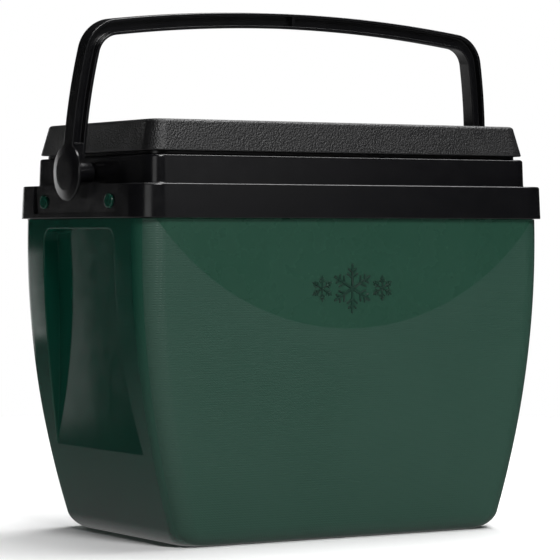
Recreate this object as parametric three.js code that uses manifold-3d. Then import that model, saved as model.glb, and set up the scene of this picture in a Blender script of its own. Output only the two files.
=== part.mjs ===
// Insulated cooler box with a lift-off lid and a swinging bail handle.
// Millimetres, +Z up, X along the length, Y along the depth. The origin is the centre of the base.
import * as THREE from 'three';
import * as BufferGeometryUtils from 'three/addons/utils/BufferGeometryUtils.js';
import Module from 'manifold-3d';

const wasm = await Module();
wasm.setup();

// Outer shell
const BODY_TOP = 288.7;
const BODY_HALF_LENGTH = 213.9;
const BODY_HALF_DEPTH = 122.1;
const BODY_CORNER = 24;
const BODY_CORNER_NARROWING = 3.5;
const END_SWELL = 6.3;
const END_TAPER = 50;
const SIDE_SWELL = 1.3;
const SIDE_TAPER = 9.9;
const BASE_FILLET = 15.5;
const BASE_INSET = 14;
const SHELL_WALL = 3;
const SHELL_FLOOR = 6;
const NECK_TOP = 315.5;
const NECK = { a: 212.4, b: 121.8, r: 24.4 };
const FOOT_RING_WIDTH = 26;
const FOOT_RECESS_DEPTH = 2.5;

// Hand recess in each end wall
const RECESS_TOP = 279.5;
const RECESS_BOTTOM = 70;
const RECESS_TOP_HALF_WIDTH = 69;
const RECESS_FOOT_HALF_WIDTH = 86;
const RECESS_FLARE_HEIGHT = 150;
const RECESS_CORNER = 12;
const RECESS_FLOOR_TOP_X = 200.7;
const RECESS_FLOOR_FOOT_X = 192.4;
const RECESS_FLOOR_FOOT_Z = 78;

// Snap lugs that join the shell to the collar
const LUG_Y = 64;
const LUG_Z = 304;
const LUG_WIDTH = 15;
const LUG_HEIGHT = 13;
const LUG_FACE_X = 217.4;
const LUG_HOLE_GAP = 0.5;

// Collar: a wide skirt below a narrower tier
const SKIRT_FOOT_Z = 289;
const SKIRT_TOP_Z = 319;
const TIER_TOP_Z = 344.3;
const SKIRT_FOOT = { a: 218, b: 127.4, r: 26 };
const SKIRT_FLARE = 1.2;
const SKIRT_INSIDE = { a: 213.2, b: 122.6, r: 25.2 };
const TIER_FOOT = { a: 202.2, b: 115, r: 16 };
const TIER_DRAFT = 0.8;
const TIER_INSIDE = { a: 196.8, b: 111, r: 13 };
const COLLAR_OPENING = { a: 191, b: 102, r: 24 };
const COLLAR_PLATE = 3;
const EDGE_ROUND = 2.4;
const SKIRT_POCKET_HALF_WIDTH = 83;
const SKIRT_POCKET_X = 215.6;
const SKIRT_POCKET_FOOT_Z = 293.5;
const TIER_POCKET_HALF_WIDTH = 71;
const TIER_POCKET_X = 200.2;
const TIER_POCKET_TOP_Z = 339.5;

// Liner and insulation
const INSULATION = 25;
const LINER_WALL = 2.5;
const LINER_MOUTH = { a: 186, b: 97, r: 20 };
const LINER_FLOOR_Z = 32;
const LINER_FLOOR_FILLET = 12;
const LINER_LIP_Z = 344;
const LINER_RIM = { a: 196, b: 109.5, r: 16 };
const LINER_RIM_FOOT_Z = 337.6;
const FOAM_TOP_Z = 314;

// Lid
const LID_FOOT_Z = 347.6;
const LID_TOP_Z = 375.4;
const LID_FOOT = { a: 201, b: 113.3, r: 16.7 };
const LID_TOP = { a: 195.4, b: 108, r: 14.8 };
const LID_EDGE = 4;
const LID_WALL = 3;
const LID_LIP_OPENING = { a: 191, b: 100, r: 16 };
const PAN_FLANGE = { a: 197.3, b: 106.6, r: 17 };
const PAN_FLANGE_THICKNESS = 2.7;
const PLUG = { a: 184.5, b: 95.5, r: 19 };
const PLUG_FOOT_Z = 324;
const PLUG_WALL = 3;
const PLUG_LEAD_IN = { inset: 2, height: 3 };

// Bail handle, drawn upright in the plane Y = 0 and then leant towards the front
const PIVOT_Z = 330;
const BAIL_LEAN = 4.8;
const ARM_X = 225.5;
const ARM_CURVE = 573.5;
const ARM_START_Z = 342;
const BAR_TOP_Z = 480.3;
const BAR_CURVE = 1449;
const BAIL_CORNER = 33.4;
const BAIL_THICKNESS = 14.2;
const BAIL_WIDTH = 17;
const FLANGE = 2.8;
const WEB = 3.4;
const RIB = 3;
const ARM_RIB_Z = 357;
const HUB_RADIUS = 25.5;
const HUB_FACE_RADIUS = 16;
const HUB_FACE_X = 227.4;
const HUB_BACK_X = 222.8;
const HUB_RIM_X = 225.8;
const BOSS_RADIUS = 9;
const BOSS_END_X = 201;

// Pivot pins and their clips
const PIN_RADIUS = 5;
const PIN_END_X = 192.4;
const PIN_HEAD_RADIUS = 14;
const PIN_HEAD_BACK_X = 226.2;
const PIN_HEAD_FACE_X = 227.6;
const PIN_TIP_CHAMFER = 1;
const PIN_HEAD_CHAMFER = { inset: 0.8, depth: 0.4 };
const CLIP_OUTER_RADIUS = 6.8;
const CLIP_BACK_X = 194;
const CLIP_THICKNESS = 1.8;

const GAP = 0.3;
// How far a cutter runs past the faces that it cuts, and how far joined solids sink into each other
const PAST = 5;
const SUNK = 1;

const CORNER_STEPS = 5;
const BAIL_STEPS = 8;
const ROUND_STEPS = 24;
const EDGE_STEPS = 4;
const LUG_STEPS = 6;
const WALL_STEPS = 10;
const INSIDE_STEPS = 7;
const LINER_STEPS = 6;

const green = { color: 0x17392d, roughness: 0.42, metalness: 0 };
const glossBlack = { color: 0x121214, roughness: 0.28, metalness: 0 };
const grainBlack = { color: 0x222224, roughness: 0.62, metalness: 0 };
const linerWhite = { color: 0xdfe2e0, roughness: 0.45, metalness: 0 };
const foamWhite = { color: 0xf1efe6, roughness: 0.9, metalness: 0 };

const root = new THREE.Group();

function toSolid(geometry) {
  geometry.deleteAttribute('normal');
  geometry.deleteAttribute('uv');
  const welded = BufferGeometryUtils.mergeVertices(geometry, 1e-4);
  return new wasm.Manifold(new wasm.Mesh({
    numProp: 3,
    vertProperties: new Float32Array(welded.attributes.position.array),
    triVerts: new Uint32Array(welded.index.array),
  }));
}

function toGeometry(body) {
  const mesh = body.getMesh();
  const geometry = new THREE.BufferGeometry();
  geometry.setAttribute('position', new THREE.BufferAttribute(new Float32Array(mesh.vertProperties), 3));
  geometry.setIndex(new THREE.BufferAttribute(new Uint32Array(mesh.triVerts), 1));
  geometry.computeVertexNormals();
  return geometry;
}

function addPiece(name, body, look) {
  const mesh = new THREE.Mesh(toGeometry(body), new THREE.MeshStandardMaterial(look));
  mesh.name = name;
  root.add(mesh);
  return mesh;
}

// A rounded rectangle with half sizes 2 and corner radius 1, so its corner centres are at (1, 1).
function unitRoundedRectangle() {
  const shape = new THREE.Shape();
  shape.moveTo(2, -1);
  shape.lineTo(2, 1);
  shape.absarc(1, 1, 1, 0, Math.PI / 2);
  shape.lineTo(-1, 2);
  shape.absarc(-1, 1, 1, Math.PI / 2, Math.PI);
  shape.lineTo(-2, -1);
  shape.absarc(-1, -1, 1, Math.PI, 1.5 * Math.PI);
  shape.lineTo(1, -2);
  shape.absarc(1, -1, 1, 1.5 * Math.PI, 2 * Math.PI);
  return shape;
}

// A solid through a rising stack of rounded rectangles { a, b, r, z }: half length, half depth, corner
// radius and height.
function stack(sections) {
  const steps = sections.length - 1;
  const geometry = new THREE.ExtrudeGeometry(unitRoundedRectangle(), {
    depth: steps,
    steps,
    bevelEnabled: false,
    curveSegments: CORNER_STEPS,
  });
  const position = geometry.attributes.position;
  for (let i = 0; i < position.count; i++) {
    const { a, b, r, z } = sections[Math.round(position.getZ(i))];
    const x = position.getX(i);
    const y = position.getY(i);
    const reachX = a - r + r * (Math.abs(x) - 1);
    const reachY = b - r + r * (Math.abs(y) - 1);
    position.setXYZ(i, Math.sign(x) * reachX, Math.sign(y) * reachY, z);
  }
  return toSolid(geometry);
}

function at(section, z, inset = 0) {
  return { a: section.a - inset, b: section.b - inset, r: section.r - inset, z };
}

function slab(section, fromZ, toZ) {
  return stack([at(section, fromZ), at(section, toZ)]);
}

function box(fromX, toX, fromY, toY, fromZ, toZ) {
  const geometry = new THREE.BoxGeometry(toX - fromX, toY - fromY, toZ - fromZ);
  geometry.translate((fromX + toX) / 2, (fromY + toY) / 2, (fromZ + toZ) / 2);
  return toSolid(geometry);
}

// A shape drawn in (Y, Z), extruded along X.
function alongX(shape, fromX, toX, curveSegments = CORNER_STEPS) {
  const depth = toX - fromX;
  const geometry = new THREE.ExtrudeGeometry(shape, { depth, bevelEnabled: false, curveSegments });
  const axes = new THREE.Matrix4().makeBasis(
    new THREE.Vector3(0, 1, 0),
    new THREE.Vector3(0, 0, 1),
    new THREE.Vector3(1, 0, 0),
  );
  geometry.applyMatrix4(axes);
  geometry.translate(fromX, 0, 0);
  return toSolid(geometry);
}

// A shape drawn in (X, Z), extruded along Y and centred on the plane Y = 0.
function acrossY(shape, width, curveSegments = CORNER_STEPS) {
  const geometry = new THREE.ExtrudeGeometry(shape, { depth: width, bevelEnabled: false, curveSegments });
  const axes = new THREE.Matrix4().makeBasis(
    new THREE.Vector3(1, 0, 0),
    new THREE.Vector3(0, 0, 1),
    new THREE.Vector3(0, -1, 0),
  );
  geometry.applyMatrix4(axes);
  geometry.translate(0, width / 2, 0);
  return toSolid(geometry);
}

// A profile of [radius, x] points that starts and ends on the axis, turned about the pivot axis.
function turned(profile) {
  const points = profile.map(([radius, x]) => new THREE.Vector2(radius, x));
  const geometry = new THREE.LatheGeometry(points, ROUND_STEPS);
  geometry.rotateZ(-Math.PI / 2);
  geometry.translate(0, 0, PIVOT_Z);
  return toSolid(geometry);
}

function rod(radius, fromX, toX) {
  return turned([[0, fromX], [radius, fromX], [radius, toX], [0, toX]]);
}

// Turned about the pivot axis, from upright towards the front.
function leant(body) {
  return body
    .translate([0, 0, -PIVOT_Z])
    .rotate([BAIL_LEAN, 0, 0])
    .translate([0, 0, PIVOT_Z]);
}

// The same feature at the other end of the box.
function atOtherEnd(body) {
  return body.rotate([0, 0, 180]);
}

function atBothEnds(body) {
  return body.add(atOtherEnd(body));
}

function bodySection(z, inset = 0) {
  const fall = 1 - z / BODY_TOP;
  const lift = Math.max(0, 1 - z / BASE_FILLET);
  const turnIn = BASE_INSET * (1 - Math.sqrt(1 - lift * lift));
  return {
    a: BODY_HALF_LENGTH + END_SWELL * fall - END_TAPER * fall * fall - turnIn - inset,
    b: BODY_HALF_DEPTH + SIDE_SWELL * fall - SIDE_TAPER * fall * fall - turnIn - inset,
    r: BODY_CORNER - BODY_CORNER_NARROWING * fall - inset,
    z,
  };
}

function heights(from, to, count) {
  return Array.from({ length: count + 1 }, (_, i) => from + ((to - from) * i) / count);
}

function filletHeights() {
  return heights(0, Math.PI / 2, EDGE_STEPS).map((angle) => BASE_FILLET * (1 - Math.cos(angle)));
}

function recessOutline(margin) {
  const top = RECESS_TOP + margin;
  const upper = RECESS_TOP_HALF_WIDTH + margin;
  const foot = RECESS_FOOT_HALF_WIDTH + margin;
  const corner = RECESS_CORNER + margin;
  const shape = new THREE.Shape();
  shape.moveTo(-foot, RECESS_BOTTOM - margin);
  shape.lineTo(foot, RECESS_BOTTOM - margin);
  shape.quadraticCurveTo(upper, RECESS_FLARE_HEIGHT, upper, top - corner);
  shape.absarc(upper - corner, top - corner, corner, 0, Math.PI / 2);
  shape.absarc(corner - upper, top - corner, corner, Math.PI / 2, Math.PI);
  shape.quadraticCurveTo(-upper, RECESS_FLARE_HEIGHT, -foot, RECESS_BOTTOM - margin);
  return shape;
}

// Everything outboard of the recess floor, which leans in towards its foot.
function outboardOfRecessFloor(margin) {
  const slope = (RECESS_FLOOR_TOP_X - RECESS_FLOOR_FOOT_X) / (RECESS_TOP - RECESS_FLOOR_FOOT_Z);
  const floorAt = (z) => RECESS_FLOOR_FOOT_X + slope * (z - RECESS_FLOOR_FOOT_Z) - margin;
  const shape = new THREE.Shape();
  shape.moveTo(floorAt(0), 0);
  shape.lineTo(BODY_HALF_LENGTH + PAST, 0);
  shape.lineTo(BODY_HALF_LENGTH + PAST, BODY_TOP);
  shape.lineTo(floorAt(BODY_TOP), BODY_TOP);
  return acrossY(shape, 2 * BODY_HALF_DEPTH);
}

function handRecesses(margin) {
  const opening = alongX(recessOutline(margin), RECESS_FLOOR_FOOT_X - 2 * PAST, BODY_HALF_LENGTH + PAST);
  return atBothEnds(opening.intersect(outboardOfRecessFloor(margin)));
}

function lugShape(growth) {
  const shape = new THREE.Shape();
  shape.absellipse(0, 0, LUG_WIDTH / 2 + growth, LUG_HEIGHT / 2 + growth, 0, 2 * Math.PI);
  return shape;
}

function lugs(growth, fromX, toX) {
  const lug = alongX(lugShape(growth), fromX, toX, LUG_STEPS);
  const pair = lug.translate([0, LUG_Y, LUG_Z]).add(lug.translate([0, -LUG_Y, LUG_Z]));
  return atBothEnds(pair);
}

function shellCavity(inset) {
  const floorZ = SHELL_FLOOR + inset - SHELL_WALL;
  const wallHeights = [floorZ, ...heights(BASE_FILLET, BODY_TOP - SHELL_WALL, INSIDE_STEPS)];
  const walls = wallHeights.map((z) => bodySection(z, inset));
  const neck = [at(NECK, BODY_TOP - SHELL_WALL, inset), at(NECK, NECK_TOP + PAST, inset)];
  return stack([...walls, ...neck]).subtract(handRecesses(inset));
}

function outerShell() {
  const wallHeights = [...filletHeights(), ...heights(BASE_FILLET, BODY_TOP, WALL_STEPS).slice(1)];
  const walls = wallHeights.map((z) => bodySection(z));
  const outside = stack([...walls, at(NECK, BODY_TOP), at(NECK, NECK_TOP)]);
  const footRecess = slab(at(bodySection(0), 0, FOOT_RING_WIDTH), -PAST, FOOT_RECESS_DEPTH);
  return outside
    .subtract(handRecesses(0))
    .subtract(shellCavity(SHELL_WALL))
    .subtract(footRecess)
    .add(lugs(0, NECK.a - SUNK, LUG_FACE_X));
}

function linerSection(z, outset = 0) {
  const wall = bodySection(Math.min(z, BODY_TOP), INSULATION);
  const lift = Math.max(0, 1 - (z - LINER_FLOOR_Z) / LINER_FLOOR_FILLET);
  const turnIn = LINER_FLOOR_FILLET * (1 - Math.sqrt(Math.max(0, 1 - lift * lift)));
  return {
    a: Math.min(LINER_MOUTH.a, wall.a) - turnIn + outset,
    b: Math.min(LINER_MOUTH.b, wall.b) - turnIn + outset,
    r: LINER_MOUTH.r + outset - turnIn / 2,
    z,
  };
}

// The liner's inside, or a solid grown around it by the outset.
function linerForm(outset, topZ) {
  const filletTop = LINER_FLOOR_Z + LINER_FLOOR_FILLET;
  const fillet = [LINER_FLOOR_Z, LINER_FLOOR_Z + LINER_FLOOR_FILLET / 3];
  const sampled = [...fillet, ...heights(filletTop, BODY_TOP, LINER_STEPS)];
  const walls = sampled.map((z) => linerSection(z, outset));
  walls.push({ ...walls.at(-1), z: topZ });
  if (outset > 0) {
    walls.unshift({ ...walls[0], z: LINER_FLOOR_Z - outset });
  }
  return stack(walls);
}

function innerLiner() {
  const rim = slab(LINER_RIM, LINER_RIM_FOOT_Z, TIER_TOP_Z - COLLAR_PLATE - GAP);
  return linerForm(LINER_WALL, LINER_LIP_Z).add(rim).subtract(linerForm(0, LINER_LIP_Z + PAST));
}

function insulationTub() {
  const aboveFoam = slab(SKIRT_FOOT, FOAM_TOP_Z, NECK_TOP + 2 * PAST);
  return shellCavity(SHELL_WALL + GAP)
    .subtract(linerForm(LINER_WALL + GAP, NECK_TOP + 2 * PAST))
    .subtract(aboveFoam);
}

// A straight-sided block whose top edge is rounded.
function roundedTop(foot, footZ, top, topZ, edge) {
  const sections = [at(foot, footZ), at(top, topZ - edge)];
  for (const angle of heights(0, Math.PI / 2, EDGE_STEPS).slice(1)) {
    sections.push(at(top, topZ - edge + edge * Math.sin(angle), edge * (1 - Math.cos(angle))));
  }
  return stack(sections);
}

// The room outboard of a pocket's floor.
function pocket(floorX, halfWidth, footZ, topZ) {
  return box(floorX, SKIRT_FOOT.a + PAST, -halfWidth, halfWidth, footZ, topZ);
}

function collar() {
  const skirtTop = at(SKIRT_FOOT, 0, SKIRT_FLARE);
  const tierTop = at(TIER_FOOT, 0, TIER_DRAFT);
  const skirt = roundedTop(SKIRT_FOOT, SKIRT_FOOT_Z, skirtTop, SKIRT_TOP_Z, EDGE_ROUND / 2);
  const tier = roundedTop(TIER_FOOT, SKIRT_TOP_Z - SUNK, tierTop, TIER_TOP_Z, EDGE_ROUND);
  const aboveSkirt = SKIRT_TOP_Z + PAST;
  const skirtPocket = pocket(SKIRT_POCKET_X, SKIRT_POCKET_HALF_WIDTH, SKIRT_POCKET_FOOT_Z, aboveSkirt);
  const tierPocket = pocket(TIER_POCKET_X, TIER_POCKET_HALF_WIDTH, SKIRT_TOP_Z, TIER_POCKET_TOP_Z);
  const pinHole = rod(PIN_RADIUS + GAP, TIER_INSIDE.a - PAST, TIER_FOOT.a + PAST);
  return skirt
    .add(tier)
    .subtract(slab(SKIRT_INSIDE, SKIRT_FOOT_Z - PAST, SKIRT_TOP_Z - COLLAR_PLATE))
    .subtract(slab(TIER_INSIDE, SKIRT_FOOT_Z, TIER_TOP_Z - COLLAR_PLATE))
    .subtract(slab(COLLAR_OPENING, SKIRT_FOOT_Z, TIER_TOP_Z + PAST))
    .subtract(atBothEnds(skirtPocket.add(tierPocket).add(pinHole)))
    .subtract(lugs(LUG_HOLE_GAP, SKIRT_INSIDE.a - PAST, SKIRT_FOOT.a + PAST));
}

function lidCavity(gap) {
  const foot = at(LID_FOOT, LID_FOOT_Z + LID_WALL + gap, LID_WALL + gap);
  const top = at(LID_TOP, LID_TOP_Z - LID_WALL - gap, LID_WALL + gap);
  return stack([foot, top]);
}

function lidCap() {
  return roundedTop(LID_FOOT, LID_FOOT_Z, LID_TOP, LID_TOP_Z, LID_EDGE)
    .subtract(lidCavity(0))
    .subtract(slab(LID_LIP_OPENING, LID_FOOT_Z - PAST, LID_FOOT_Z + PAST));
}

function lidLiner() {
  const flangeFootZ = LID_FOOT_Z - GAP - PAN_FLANGE_THICKNESS;
  const flange = slab(PAN_FLANGE, flangeFootZ, LID_FOOT_Z - GAP);
  const plug = stack([
    at(PLUG, PLUG_FOOT_Z, PLUG_LEAD_IN.inset),
    at(PLUG, PLUG_FOOT_Z + PLUG_LEAD_IN.height),
    at(PLUG, flangeFootZ + SUNK),
  ]);
  const hollow = slab(at(PLUG, 0, PLUG_WALL), PLUG_FOOT_Z + PLUG_WALL, LID_FOOT_Z + PAST);
  return plug.add(flange).subtract(hollow);
}

function lidInsulation() {
  const inPlug = slab(at(PLUG, 0, PLUG_WALL + GAP), PLUG_FOOT_Z + PLUG_WALL + GAP, LID_FOOT_Z + PAST);
  return inPlug.add(lidCavity(GAP));
}

// The bail's outline is three kinds of arc about fixed centres, so an inset only changes their radii.
function bailArcs() {
  const arm = new THREE.Vector2(ARM_X - ARM_CURVE, PIVOT_Z);
  const bar = new THREE.Vector2(0, BAR_TOP_Z - BAR_CURVE);
  const toArm = ARM_CURVE - BAIL_CORNER;
  const toBar = BAR_CURVE - BAIL_CORNER;
  const between = bar.clone().sub(arm);
  const distance = between.length();
  const along = (toArm * toArm - toBar * toBar + distance * distance) / (2 * distance);
  const across = Math.sqrt(toArm * toArm - along * along);
  const direction = between.divideScalar(distance);
  const corner = new THREE.Vector2(
    arm.x + direction.x * along - direction.y * across,
    arm.y + direction.y * along + direction.x * across,
  );
  return {
    arm,
    bar,
    corner,
    armStart: Math.asin((ARM_START_Z - PIVOT_Z) / ARM_CURVE),
    armEnd: Math.atan2(corner.y - arm.y, corner.x - arm.x),
    barStart: Math.atan2(corner.y - bar.y, corner.x - bar.x),
  };
}

// The band of the bail between two insets from its outer edge, drawn in (X, Z).
function bailBand(outerInset, innerInset) {
  const { arm, bar, corner, armStart, armEnd, barStart } = bailArcs();
  const shape = new THREE.Shape();
  const right = (inset) => [
    [arm.x, arm.y, ARM_CURVE - inset, armStart, armEnd],
    [corner.x, corner.y, BAIL_CORNER - inset, armEnd, barStart],
  ];
  for (const [x, y, radius, from, to] of right(outerInset)) {
    shape.absarc(x, y, radius, from, to, false);
  }
  shape.absarc(bar.x, bar.y, BAR_CURVE - outerInset, barStart, Math.PI - barStart, false);
  for (const [x, y, radius, from, to] of right(outerInset).reverse()) {
    shape.absarc(-x, y, radius, Math.PI - to, Math.PI - from, false);
  }
  for (const [x, y, radius, from, to] of right(innerInset)) {
    shape.absarc(-x, y, radius, Math.PI - from, Math.PI - to, true);
  }
  shape.absarc(bar.x, bar.y, BAR_CURVE - innerInset, Math.PI - barStart, barStart, true);
  for (const [x, y, radius, from, to] of right(innerInset).reverse()) {
    shape.absarc(x, y, radius, to, from, true);
  }
  return shape;
}

function bailHandle() {
  const web = acrossY(bailBand(0, BAIL_THICKNESS), WEB, BAIL_STEPS);
  const outerFlange = acrossY(bailBand(0, FLANGE), BAIL_WIDTH, BAIL_STEPS);
  const innerFlange = acrossY(bailBand(BAIL_THICKNESS - FLANGE, BAIL_THICKNESS), BAIL_WIDTH, BAIL_STEPS);
  const halfWidth = BAIL_WIDTH / 2;
  const barFootZ = BAR_TOP_Z - BAIL_THICKNESS;
  const barRib = box(-RIB / 2, RIB / 2, -halfWidth, halfWidth, barFootZ + SUNK, BAR_TOP_Z - SUNK);
  const armBackX = ARM_X - BAIL_THICKNESS;
  const armFoot = box(armBackX, HUB_BACK_X + SUNK, -halfWidth, halfWidth, ARM_START_Z, ARM_RIB_Z);
  const hub = turned([
    [0, HUB_BACK_X],
    [HUB_RADIUS, HUB_BACK_X],
    [HUB_RADIUS, HUB_RIM_X],
    [HUB_FACE_RADIUS, HUB_FACE_X],
    [0, HUB_FACE_X],
  ]);
  const boss = rod(BOSS_RADIUS, BOSS_END_X, HUB_BACK_X + SUNK);
  const bore = rod(PIN_RADIUS + GAP, BOSS_END_X - PAST, HUB_FACE_X + PAST);
  const headSeat = rod(PIN_HEAD_RADIUS + GAP, PIN_HEAD_BACK_X - GAP, HUB_FACE_X + PAST);
  const upright = web
    .add(outerFlange)
    .add(innerFlange)
    .add(barRib)
    .add(atBothEnds(armFoot.add(hub).add(boss)))
    .subtract(atBothEnds(bore.add(headSeat)));
  return leant(upright);
}

function pivotPin() {
  return turned([
    [0, PIN_END_X],
    [PIN_RADIUS - PIN_TIP_CHAMFER, PIN_END_X],
    [PIN_RADIUS, PIN_END_X + PIN_TIP_CHAMFER],
    [PIN_RADIUS, PIN_HEAD_BACK_X],
    [PIN_HEAD_RADIUS, PIN_HEAD_BACK_X],
    [PIN_HEAD_RADIUS, PIN_HEAD_FACE_X - PIN_HEAD_CHAMFER.depth],
    [PIN_HEAD_RADIUS - PIN_HEAD_CHAMFER.inset, PIN_HEAD_FACE_X],
    [0, PIN_HEAD_FACE_X],
  ]);
}

function pinClip() {
  const clipEndX = CLIP_BACK_X + CLIP_THICKNESS;
  const bore = rod(PIN_RADIUS + GAP, CLIP_BACK_X - PAST, clipEndX + PAST);
  return rod(CLIP_OUTER_RADIUS, CLIP_BACK_X, clipEndX).subtract(bore);
}

addPiece('outer_shell', outerShell(), green);
addPiece('insulation_tub', insulationTub(), foamWhite);
addPiece('inner_liner', innerLiner(), linerWhite);
addPiece('collar', collar(), glossBlack);
addPiece('lid_cap', lidCap(), grainBlack);
addPiece('lid_insulation', lidInsulation(), foamWhite);
addPiece('lid_liner', lidLiner(), glossBlack);
addPiece('bail_handle', bailHandle(), glossBlack);
for (const [side, turn] of [['right', 0], ['left', Math.PI]]) {
  addPiece(`pivot_pin_${side}`, pivotPin(), glossBlack).rotation.z = turn;
  addPiece(`pin_clip_${side}`, pinClip(), glossBlack).rotation.z = turn;
}

export default root;
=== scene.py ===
import math

import bmesh
import bpy
from mathutils import Matrix, Vector


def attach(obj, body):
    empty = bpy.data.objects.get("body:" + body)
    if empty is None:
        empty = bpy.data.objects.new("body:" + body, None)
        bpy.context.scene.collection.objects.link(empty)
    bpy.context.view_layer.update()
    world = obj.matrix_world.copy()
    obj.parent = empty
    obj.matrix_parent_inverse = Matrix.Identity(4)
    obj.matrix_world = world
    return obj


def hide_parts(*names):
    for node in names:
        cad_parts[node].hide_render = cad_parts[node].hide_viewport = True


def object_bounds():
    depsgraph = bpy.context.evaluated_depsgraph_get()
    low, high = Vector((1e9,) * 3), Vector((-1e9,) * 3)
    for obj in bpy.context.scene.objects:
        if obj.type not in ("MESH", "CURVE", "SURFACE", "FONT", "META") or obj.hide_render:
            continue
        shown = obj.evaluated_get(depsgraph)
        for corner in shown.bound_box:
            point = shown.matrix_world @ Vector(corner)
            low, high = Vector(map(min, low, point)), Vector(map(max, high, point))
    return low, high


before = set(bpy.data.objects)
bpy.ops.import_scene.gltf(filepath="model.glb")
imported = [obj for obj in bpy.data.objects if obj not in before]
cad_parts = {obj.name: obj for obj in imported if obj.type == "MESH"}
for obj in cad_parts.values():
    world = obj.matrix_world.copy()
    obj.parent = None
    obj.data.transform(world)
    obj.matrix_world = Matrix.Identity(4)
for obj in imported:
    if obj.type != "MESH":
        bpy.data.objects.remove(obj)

cad_box = [list(corner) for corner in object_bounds()]

# The object's own dimensions, in millimetres, as in the CAD model
MM = 0.001
BODY_TOP = 288.7
BODY_HALF_LENGTH = 213.9
BODY_HALF_DEPTH = 122.1
BODY_CORNER = 24
BODY_CORNER_NARROWING = 3.5
END_SWELL = 6.3
END_TAPER = 50
SIDE_SWELL = 1.3
SIDE_TAPER = 9.9
BASE_FILLET = 15.5
BASE_INSET = 14
SHELL_WALL = 3
SHELL_FLOOR = 6
NECK_TOP = 315.5
NECK = (212.4, 121.8, 24.4)
FOOT_RING = 26
FOOT_RECESS = 2.5
RECESS_TOP = 279.5
RECESS_BOTTOM = 70
RECESS_TOP_HALF_WIDTH = 69
RECESS_FOOT_HALF_WIDTH = 86
RECESS_FLARE_HEIGHT = 150
RECESS_CORNER = 12
RECESS_FLOOR_TOP_X = 200.7
RECESS_FLOOR_FOOT_X = 192.4
RECESS_FLOOR_FOOT_Z = 78
LUG_Y = 64
LUG_Z = 304
LUG_HALF = (7.5, 6.5)
LUG_FACE_X = 217.4
SKIRT_FOOT_Z = 289
SKIRT_TOP_Z = 319
TIER_TOP_Z = 344.3
SKIRT = (218, 127.4, 26)
SKIRT_INSIDE = (213.2, 122.6, 25.2)
TIER = (202.2, 115, 16)
TIER_INSIDE = (196.8, 111, 13)
OPENING = (191, 102, 24)
# Pockets in the collar's ends: half width, height of the far edge, and X of the floor
SKIRT_POCKET = (83, 293.5, 215.6)
TIER_POCKET = (71, 339.5, 200.2)
PLATE = 3
INSULATION = 25
LINER_MOUTH = (186, 97, 20)
LINER_RIM = (196, 109.5, 16)
LINER_FLOOR_Z = 32
LINER_FILLET = 12
LINER_WALL = 2.5
LINER_LIP_Z = 344
LID_FOOT_Z = 347.6
LID_TOP_Z = 375.4
LID_FOOT = (201, 113.3, 16.7)
LID_TOP = (195.4, 108, 14.8)
LID_LIP = (191, 100, 16)
PAN = (197.3, 106.6, 17)
PLUG = (184.5, 95.5, 19)
PLUG_FOOT_Z = 324
PIVOT_Z = 330
BAIL_LEAN = 4.8
ARM_X = 225.5
ARM_CURVE = 573.5
ARM_START_Z = 342
ARM_RIB_Z = 357
BAR_TOP_Z = 480.3
BAR_CURVE = 1449
BAIL_CORNER = 33.4
BAIL_THICKNESS = 14.2
BAIL_WIDTH = 17
FLANGE = 2.8
WEB = 3.4
HUB_RADIUS = 25.5
HUB_BACK_X = 222.8
HUB_RIM_X = 225.8
HUB_FACE_X = 227.4
HUB_FACE_RADIUS = 16
BOSS_RADIUS = 9
BOSS_END_X = 201
PIN_END_X = 192.4
PIN_RADIUS = 5
PIN_HEAD_RADIUS = 14
PIN_HEAD_BACK_X = 226.2
PIN_HEAD_FACE_X = 227.6
GAP = 0.3
# How far a cutter reaches past a face, and how deep a joined piece sinks in
PAST = 5
SUNK = 1

# Rounded edges, bevels and small thicknesses, in millimetres
SHELL_EDGE = 0.6
RECESS_RIM = 1.4
INNER_RECESS_RIM = 1.0
LUG_EDGE = 1.2
LUG_HOLE_GAP = 0.5
LUG_HOLE_EDGE = 0.2
COLLAR_LIP_EDGE = 0.8
SKIRT_FLARE = 1.2
SKIRT_EDGE = 1.8
TIER_DRAFT = 0.8
TIER_EDGE = 2.4
SKIRT_POCKET_CORNER = 2.5
TIER_POCKET_CORNER = 3
LINER_RIM_THICKNESS = 3.4
LID_FOOT_EDGE = 1.0
LID_EDGE = 4.0
LID_WALL = 3
PAN_FLANGE = 2.7
PAN_BEVEL = 0.4
PLUG_EDGE = 2.5
PLUG_WALL = 3
RIB = 3
FILLER_INSET = 0.3
FILLER_CORNER = 1
PIN_TIP_CHAMFER = 1
RECESS_DEPTH = 16
RECESS_DRAFT = 0.05
RECESS_FLOOR_BLEND = 2.0

# Steps along curves
CORNER_STEPS = 20
ARM_STEPS = 26
BAIL_CORNER_STEPS = 18
BAR_STEPS = 30

# The emblem and the smooth lens on the front wall, in millimetres
EMBLEM_Z = 226
EMBLEM_RISE = 1.0
EMBLEM_BEVEL = 0.4
EMBLEM_BED = 1.0
LARGE_FLAKE = 21
SMALL_FLAKE = 11
FLAKE_SPACING = 32
LENS_CENTRE_Z = 443
LENS_RADIUS = 253

# Camera: degrees, metres, and millimetres for the lens
CAMERA_AZIMUTH = 31.09
CAMERA_ELEVATION = 0.918
CAMERA_DISTANCE = 2.571
CAMERA_AIM_OFFSET = (0, 0.004, -0.0084)
CAMERA_LENS = 176.2
SENSOR_WIDTH = 36

# Floor, in millimetres, and the strength of the room's light from above and below the horizon
FLOOR_RADIUS = 1600
FLOOR_Z = (-20, -0.2)
ROOM_GLOW = 0.015
FLOOR_GLOW = 0.36
HORIZON = (-0.45, -0.10)

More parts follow.
